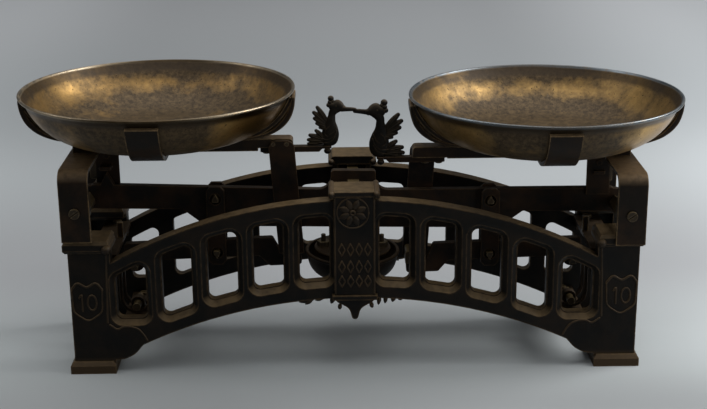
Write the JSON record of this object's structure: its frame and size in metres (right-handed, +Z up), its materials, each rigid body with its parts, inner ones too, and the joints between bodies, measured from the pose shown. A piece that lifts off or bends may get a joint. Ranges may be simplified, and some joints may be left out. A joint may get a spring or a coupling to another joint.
{
  "type": "pan balance scale",
  "caption": "Equal-arm counter balance with two loose brass pans over an arched open cast-iron frame, knife-edge beam, stabilising levers and bird pointers.",
  "frame": {"origin": "on the bench, under the middle of the frame", "axes": "+X along the beam towards the right-hand pan, +Y to the rear, +Z up; the front faces -Y"},
  "size_m": [0.639, 0.265, 0.2679],
  "materials": {
    "frame_iron": "black-brown japanned cast iron, worn bright on the edges",
    "worn_iron": "bare brown forged iron, burnished by handling",
    "knife_steel": "hardened steel, dull, with brown spots",
    "pan_brass": "old satin brass with brown patina"
  },
  "bodies": {
    "frame": {"front_side_frame": "frame_iron", "rear_side_frame": "frame_iron", "front_pillar_cap": "worn_iron", "rear_pillar_cap": "worn_iron", "front_bearing": "knife_steel", "rear_bearing": "knife_steel", "left_top_tie": "frame_iron", "right_top_tie": "frame_iron", "left_low_tie": "frame_iron", "right_low_tie": "frame_iron", "tie_screws": "knife_steel", "limit_stops": "frame_iron", "left_anchor_bracket": "frame_iron", "left_anchor_pin": "frame_iron", "left_anchor_rings": "frame_iron", "right_anchor_bracket": "frame_iron", "right_anchor_pin": "frame_iron", "right_anchor_rings": "frame_iron"},
    "beam": {"main_beam": "frame_iron", "centre_knife": "knife_steel", "left_end_knife": "knife_steel", "right_end_knife": "knife_steel", "link_knives": "knife_steel", "tare_lid": "frame_iron", "tare_pot": "frame_iron", "tare_screws": "knife_steel", "tare_nuts": "knife_steel"},
    "left_carrier": {"left_cross": "worn_iron", "left_end_strap": "worn_iron", "left_strap_bearings": "knife_steel", "left_strap_screws": "knife_steel", "left_rivets": "worn_iron", "left_inner_post": "worn_iron", "left_post_foot": "knife_steel", "left_outer_post": "worn_iron", "left_post_pin": "worn_iron", "left_pointer_bar": "worn_iron", "left_duck": "frame_iron", "left_duck_nut": "worn_iron"},
    "left_pan": {"left_pan": "pan_brass"},
    "left_link": {"left_link": "frame_iron"},
    "left_lever": {"left_lever": "frame_iron", "left_lever_knives": "knife_steel"},
    "right_carrier": {"right_cross": "worn_iron", "right_end_strap": "worn_iron", "right_strap_bearings": "knife_steel", "right_strap_screws": "knife_steel", "right_rivets": "worn_iron", "right_inner_post": "worn_iron", "right_post_foot": "knife_steel", "right_outer_post": "worn_iron", "right_post_pin": "worn_iron", "right_pointer_bar": "worn_iron", "right_duck": "frame_iron", "right_duck_nut": "worn_iron"},
    "right_pan": {"right_pan": "pan_brass"},
    "right_link": {"right_link": "frame_iron"},
    "right_lever": {"right_lever": "frame_iron", "right_lever_knives": "knife_steel"}
  },
  "joints": [
    {"name": "beam_swing", "type": "hinge", "parent": "frame", "child": "beam", "pos_m": [0, 0, 0.16], "axis": [0, 1, 0], "range_deg": [-3.6, 1.4]},
    {"name": "left_carrier_pivot", "type": "hinge", "parent": "beam", "child": "left_carrier", "pos_m": [-0.25795, 0, 0.16495], "axis": [0, 1, 0], "range_deg": [-1.4, 3.6]},
    {"name": "left_link_pivot", "type": "hinge", "parent": "beam", "child": "left_link", "pos_m": [-0.13498, 0, 0.16259], "axis": [0, 1, 0], "range_deg": [-1.4, 3.6]},
    {"name": "left_lever_swing", "type": "hinge", "parent": "frame", "child": "left_lever", "pos_m": [-0.21732, 0, 0.094], "axis": [0, 1, 0], "range_deg": [-2.3, 5.91]},
    {"name": "left_pan_lift", "type": "slide", "parent": "left_carrier", "child": "left_pan", "axis": [0, 0, 1], "range_m": [0, 0.06]},
    {"name": "right_carrier_pivot", "type": "hinge", "parent": "beam", "child": "right_carrier", "pos_m": [0.25795, 0, 0.15505], "axis": [0, 1, 0], "range_deg": [-1.4, 3.6]},
    {"name": "right_link_pivot", "type": "hinge", "parent": "beam", "child": "right_link", "pos_m": [0.13498, 0, 0.15741], "axis": [0, 1, 0], "range_deg": [-1.4, 3.6]},
    {"name": "right_lever_swing", "type": "hinge", "parent": "frame", "child": "right_lever", "pos_m": [0.21732, 0, 0.094], "axis": [0, 1, 0], "range_deg": [-2.3, 5.91]},
    {"name": "right_pan_lift", "type": "slide", "parent": "right_carrier", "child": "right_pan", "axis": [0, 0, 1], "range_m": [0, 0.06]}
  ],
  "couplings": [
    {"joint": "left_carrier_pivot", "follows": "beam_swing", "ratio": -1},
    {"joint": "left_link_pivot", "follows": "beam_swing", "ratio": -1},
    {"joint": "left_lever_swing", "follows": "beam_swing", "ratio": -1.64},
    {"joint": "right_carrier_pivot", "follows": "beam_swing", "ratio": -1},
    {"joint": "right_link_pivot", "follows": "beam_swing", "ratio": -1},
    {"joint": "right_lever_swing", "follows": "beam_swing", "ratio": -1.64}
  ]
}
